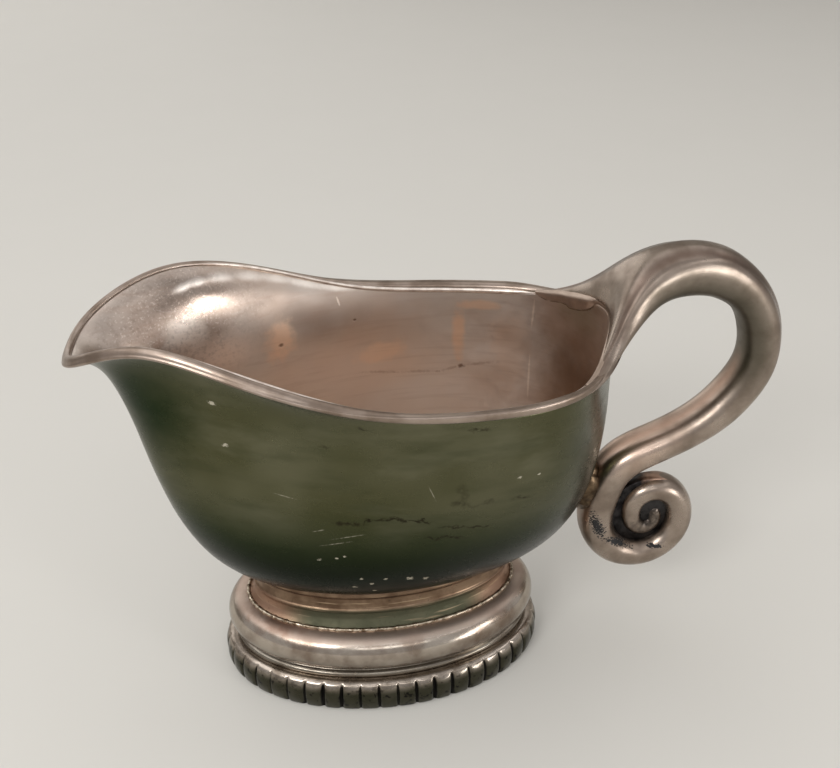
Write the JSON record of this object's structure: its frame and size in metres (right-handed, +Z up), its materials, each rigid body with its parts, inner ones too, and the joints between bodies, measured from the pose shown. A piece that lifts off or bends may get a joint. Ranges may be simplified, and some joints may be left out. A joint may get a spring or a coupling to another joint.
{
  "type": "sauce jug",
  "caption": "Oval footed sauce jug with a long pouring spout, rounded rim, notched foot border and a cast scroll handle.",
  "frame": {"origin": "middle of the bottom of the whole jug's bounding box, on the plane that the foot stands on", "axes": "+X towards the handle with the spout along -X, +Y to one side, +Z up out of the bowl"},
  "size_m": [0.1782, 0.0706, 0.1192],
  "materials": {
    "silver_plate": "worn silver plate over a copper alloy, dulled, with brownish patches",
    "dark_plate": "worn silver plate over a copper alloy, with dark dirt in the notches",
    "solder": "yellowish hard solder"
  },
  "bodies": {
    "root": {"bowl": "silver_plate", "rim_wire": "silver_plate", "foot_collar": "silver_plate", "foot_moulding": "silver_plate", "foot_border": "dark_plate", "handle": "silver_plate", "handle_solder": "solder"}
  },
  "joints": []
}
